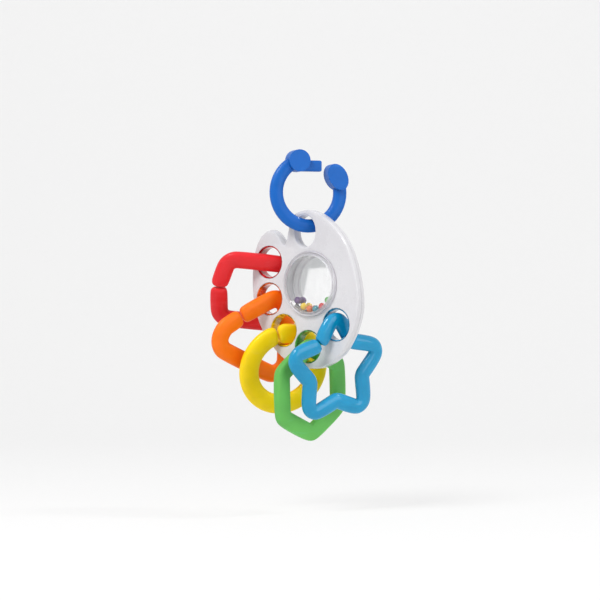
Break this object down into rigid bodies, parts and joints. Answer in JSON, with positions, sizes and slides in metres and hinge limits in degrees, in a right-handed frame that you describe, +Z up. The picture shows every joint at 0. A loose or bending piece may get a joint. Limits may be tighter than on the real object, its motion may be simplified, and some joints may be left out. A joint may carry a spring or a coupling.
{
  "type": "teething rattle",
  "caption": "Palette-shaped teething rattle with a mirrored bead window, shaped colour links hung in its holes, and an open ring to hang it by.",
  "frame": {"origin": "inside top of the hanging ring, where what it hangs on bears", "axes": "+Z up as it hangs, the palette's face towards -Y, +X to the right seen from the front"},
  "size_m": [0.1222, 0.0798, 0.2044],
  "materials": {
    "palette_white": "glossy moulded",
    "clear": "clear polished plastic",
    "mirror": "silvered sheet",
    "steel": "plain",
    "royal_blue": "satin moulded",
    "red": "satin moulded",
    "orange": "satin moulded",
    "yellow": "satin moulded",
    "green": "satin moulded",
    "sky_blue": "glossy moulded",
    "purple": "glossy",
    "teal": "glossy"
  },
  "bodies": {
    "hanger": {"hanger_ring": "royal_blue"},
    "palette": {"palette_front_shell": "palette_white", "palette_rear_shell": "palette_white", "window_dome": "clear", "mirror_disc": "mirror", "shell_screw_1": "steel", "shell_screw_2": "steel", "shell_screw_3": "steel", "shell_screw_4": "steel", "red_hole_liner": "red", "orange_hole_liner": "orange", "yellow_hole_liner": "yellow", "green_hole_liner": "green", "blue_hole_liner": "sky_blue"},
    "red_square": {"red_square_link": "red"},
    "orange_triangle": {"orange_triangle_link": "orange"},
    "yellow_ring": {"yellow_ring_link": "yellow"},
    "green_hexagon": {"green_hexagon_link": "green"},
    "blue_star": {"blue_star_link": "sky_blue"},
    "bead_purple_body": {"bead_purple": "purple"},
    "bead_yellow_body": {"bead_yellow": "yellow"},
    "bead_orange_body": {"bead_orange": "orange"},
    "bead_teal_body": {"bead_teal": "teal"},
    "bead_red_body": {"bead_red": "red"},
    "bead_green_body": {"bead_green": "green"}
  },
  "joints": [
    {"name": "palette_swing", "type": "hinge", "parent": "hanger", "child": "palette", "pos_m": [0, 0, -0.0186], "axis": [0.829, -0.5592, 0], "range_deg": [-60, 60]},
    {"name": "red_square_swing", "type": "hinge", "parent": "palette", "child": "red_square", "pos_m": [-0.03714, 0, -0.07597], "axis": [0.6152, -0.6574, -0.4352], "range_deg": [-28, 0]},
    {"name": "orange_triangle_swing", "type": "hinge", "parent": "palette", "child": "orange_triangle", "pos_m": [-0.03269, 0, -0.10341], "axis": [0.9109, -0.3533, -0.213], "range_deg": [-11, 0]},
    {"name": "yellow_ring_swing", "type": "hinge", "parent": "palette", "child": "yellow_ring", "pos_m": [-0.01986, 0, -0.12558], "axis": [0.8451, -0.457, -0.2773], "range_deg": [-4.5, 6.5]},
    {"name": "green_hexagon_swing", "type": "hinge", "parent": "palette", "child": "green_hexagon", "pos_m": [0.00346, 0, -0.13686], "axis": [0.9857, -0.1385, -0.0958], "range_deg": [-6, 50]},
    {"name": "blue_star_swing", "type": "hinge", "parent": "palette", "child": "blue_star", "pos_m": [0.0249, 0, -0.12107], "axis": [0.9298, -0.3421, -0.1357], "range_deg": [-2.5, 15]},
    {"name": "bead_purple_roll", "type": "slide", "parent": "palette", "child": "bead_purple_body", "axis": [0, 0, 1], "range_m": [0, 0.02296]},
    {"name": "bead_yellow_roll", "type": "slide", "parent": "palette", "child": "bead_yellow_body", "axis": [0, 0, 1], "range_m": [0, 0.03135]},
    {"name": "bead_orange_roll", "type": "slide", "parent": "palette", "child": "bead_orange_body", "axis": [0, 0, 1], "range_m": [0, 0.03479]},
    {"name": "bead_teal_roll", "type": "slide", "parent": "palette", "child": "bead_teal_body", "axis": [0, 0, 1], "range_m": [0, 0.03479]},
    {"name": "bead_red_roll", "type": "slide", "parent": "palette", "child": "bead_red_body", "axis": [0, 0, 1], "range_m": [0, 0.03135]},
    {"name": "bead_green_roll", "type": "slide", "parent": "palette", "child": "bead_green_body", "axis": [0, 0, 1], "range_m": [0, 0.02296]}
  ]
}
